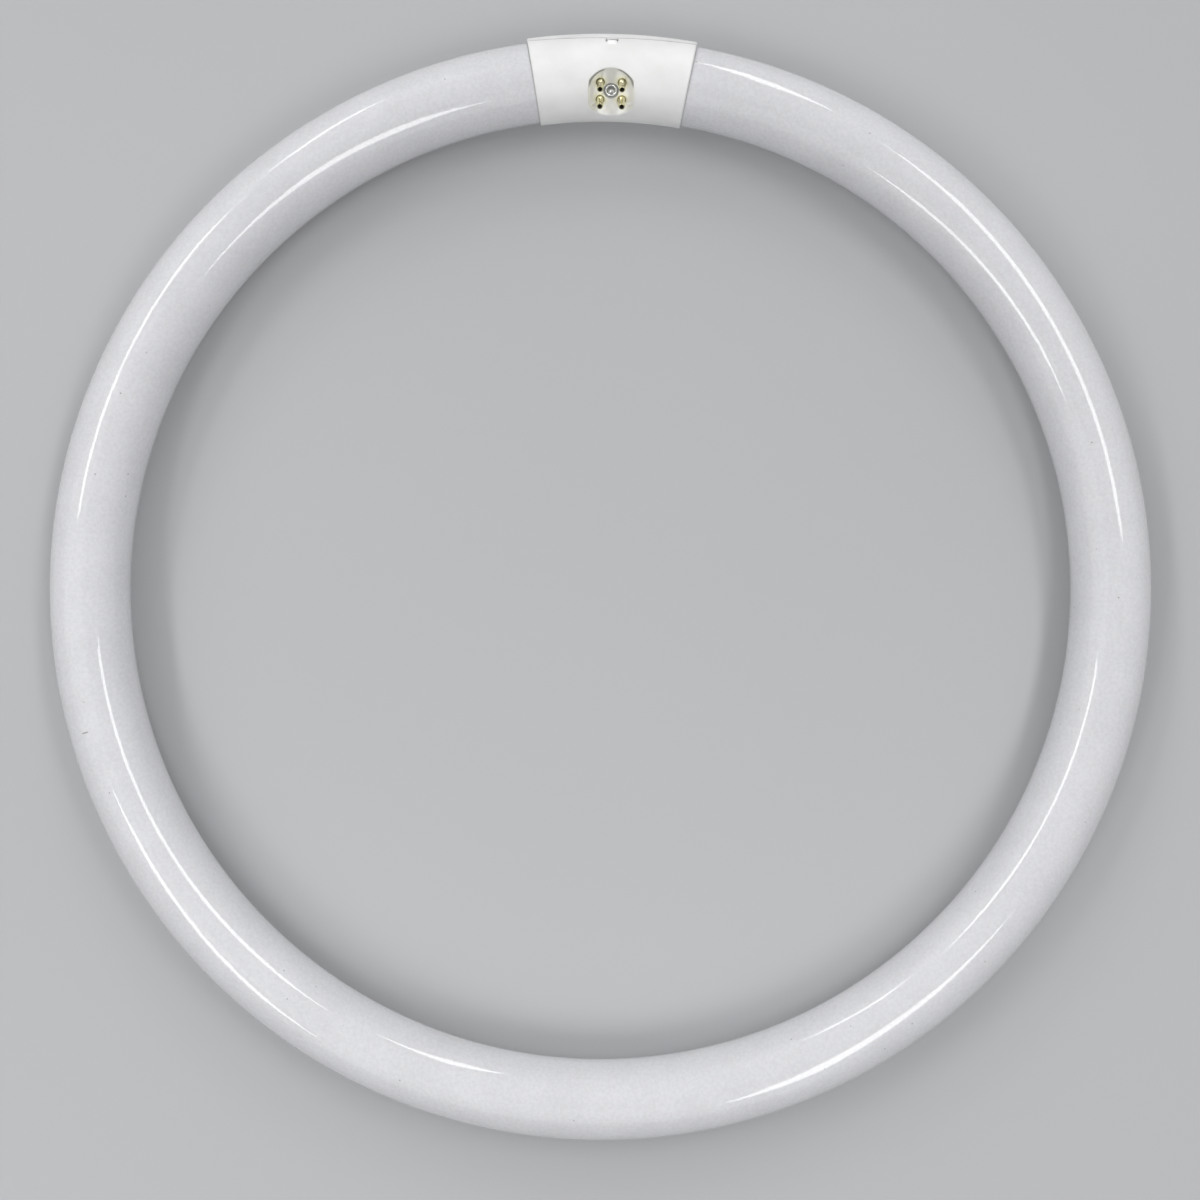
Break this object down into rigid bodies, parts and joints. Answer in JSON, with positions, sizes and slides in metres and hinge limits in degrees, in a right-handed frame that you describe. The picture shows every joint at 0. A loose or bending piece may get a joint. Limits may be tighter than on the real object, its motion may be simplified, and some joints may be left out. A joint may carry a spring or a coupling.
{
  "type": "circular fluorescent tube",
  "caption": "Ring-shaped fluorescent lamp: a white-coated glass tube bent into a circle, its ends closed in a white moulded base with hollow contact pins in a recessed face.",
  "frame": {"origin": "centre of the glass ring, on the plane of the tube's centre line", "axes": "+Z square to the ring's plane, on the side that the pins lean to; +Y from the ring's centre to the base; X along the tube at the base"},
  "size_m": [0.4064, 0.4081, 0.033],
  "materials": {
    "coated_glass": "glossy glass, coated white inside",
    "base_plastic": "satin moulded plastic",
    "pin_brass": "satin",
    "bright_metal": "bright plated",
    "wire_metal": "plain"
  },
  "bodies": {
    "root": {"glass_tube": "coated_glass", "front_shell": "base_plastic", "back_shell": "base_plastic", "rivet": "bright_metal", "contact_pin_1": "pin_brass", "contact_pin_2": "pin_brass", "contact_pin_3": "pin_brass", "contact_pin_4": "pin_brass", "lead_wire_1": "wire_metal", "lead_wire_2": "wire_metal", "lead_wire_3": "wire_metal", "lead_wire_4": "wire_metal"}
  },
  "joints": []
}
